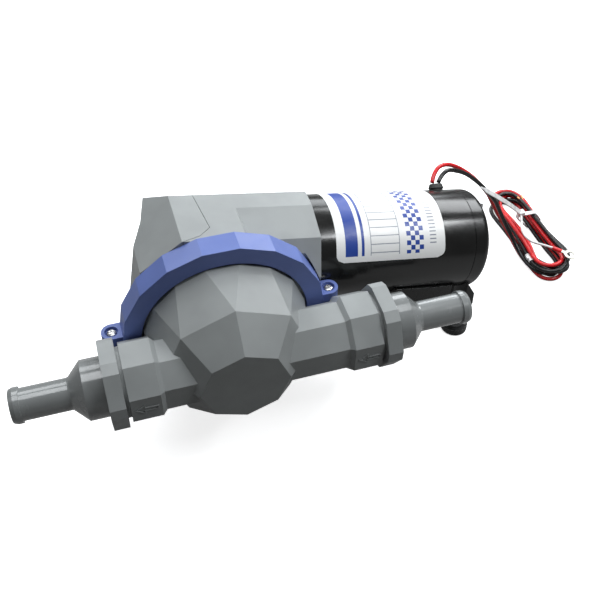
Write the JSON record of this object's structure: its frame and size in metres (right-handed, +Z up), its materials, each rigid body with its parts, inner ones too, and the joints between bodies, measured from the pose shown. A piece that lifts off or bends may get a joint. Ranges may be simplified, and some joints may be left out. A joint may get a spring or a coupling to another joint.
{
  "type": "diaphragm pump",
  "caption": "Motor-driven diaphragm pump for bilge or waste water, with a faceted dome head, hose tails on union nuts, a geared crank drive and tied leads.",
  "frame": {"origin": "centre of the four mounting holes, at ground level under the feet", "axes": "+Z up, +X towards the inlet and the motor's free end, -Y towards the dome of the pump head"},
  "size_m": [0.5308, 0.244, 0.1668],
  "materials": {
    "grey_plastic": "satin",
    "blue_plastic": "satin",
    "black_plastic": "gloss",
    "black_paint": "gloss",
    "black_rubber": "matt",
    "steel": "satin",
    "magnet": "matt",
    "copper": "satin",
    "white_nylon": "satin",
    "red_vinyl": "satin"
  },
  "bodies": {
    "pump_body": {"pump_head": "grey_plastic", "clamp_ring_upper": "blue_plastic", "clamp_ring_lower": "blue_plastic", "clamp_screws": "steel", "diaphragm": "black_rubber", "inlet_valve": "black_rubber", "outlet_valve": "black_rubber", "inlet_hose_tail": "grey_plastic", "outlet_hose_tail": "grey_plastic", "gear_housing": "grey_plastic", "gear_cover": "grey_plastic", "cover_screws": "steel", "foot_bushes": "black_rubber", "crank_bearings": "steel", "motor_can": "black_paint", "motor_front_plate": "steel", "motor_end_cap": "black_paint", "motor_bearings": "steel", "field_magnets": "magnet", "brush_plate": "black_plastic", "brushes": "magnet", "through_bolts": "steel", "motor_cradle": "black_plastic", "cradle_screws": "steel", "lead_grommet": "black_rubber", "red_lead": "red_vinyl", "black_lead": "black_rubber", "lead_hank": "black_rubber", "hank_tie": "white_nylon", "marker_tie": "white_nylon", "thin_lead": "white_nylon", "terminal_sleeve": "red_vinyl", "ring_terminal": "steel"},
    "armature": {"motor_shaft": "steel", "pinion": "steel", "armature_core": "steel", "armature_windings": "copper", "commutator": "copper"},
    "crank": {"crankshaft": "steel", "crank_gear": "steel"},
    "rod": {"connecting_rod": "steel", "rod_bearing": "steel", "diaphragm_front_plate": "steel", "diaphragm_rear_plate": "steel", "diaphragm_screw": "steel"},
    "inlet_nut": {"inlet_union_nut": "grey_plastic"},
    "outlet_nut": {"outlet_union_nut": "grey_plastic"}
  },
  "joints": [
    {"name": "motor_spin", "type": "hinge", "parent": "pump_body", "child": "armature", "pos_m": [-0.131, 0, 0.1086], "axis": [0.9836, 0, -0.1805], "continuous": true},
    {"name": "crank_spin", "type": "hinge", "parent": "pump_body", "child": "crank", "pos_m": [-0.13501, 0.02302, 0.08674], "axis": [0.9836, 0, -0.1805], "continuous": true, "deforming": ["diaphragm"]},
    {"name": "rod_turn", "type": "hinge", "parent": "crank", "child": "rod", "pos_m": [-0.13501, 0.01702, 0.08674], "axis": [0.9836, 0, -0.1805], "continuous": true},
    {"name": "inlet_nut_turn", "type": "hinge", "parent": "pump_body", "child": "inlet_nut", "pos_m": [-0.0216, -0.0966, 0.086], "axis": [1, 0, 0], "continuous": true},
    {"name": "outlet_nut_turn", "type": "hinge", "parent": "pump_body", "child": "outlet_nut", "pos_m": [-0.2166, -0.0966, 0.086], "axis": [-1, 0, 0], "continuous": true}
  ],
  "couplings": [
    {"joint": "crank_spin", "follows": "motor_spin", "ratio": -0.23077},
    {"joint": "rod_turn", "follows": "motor_spin", "ratio": 0.23077}
  ]
}
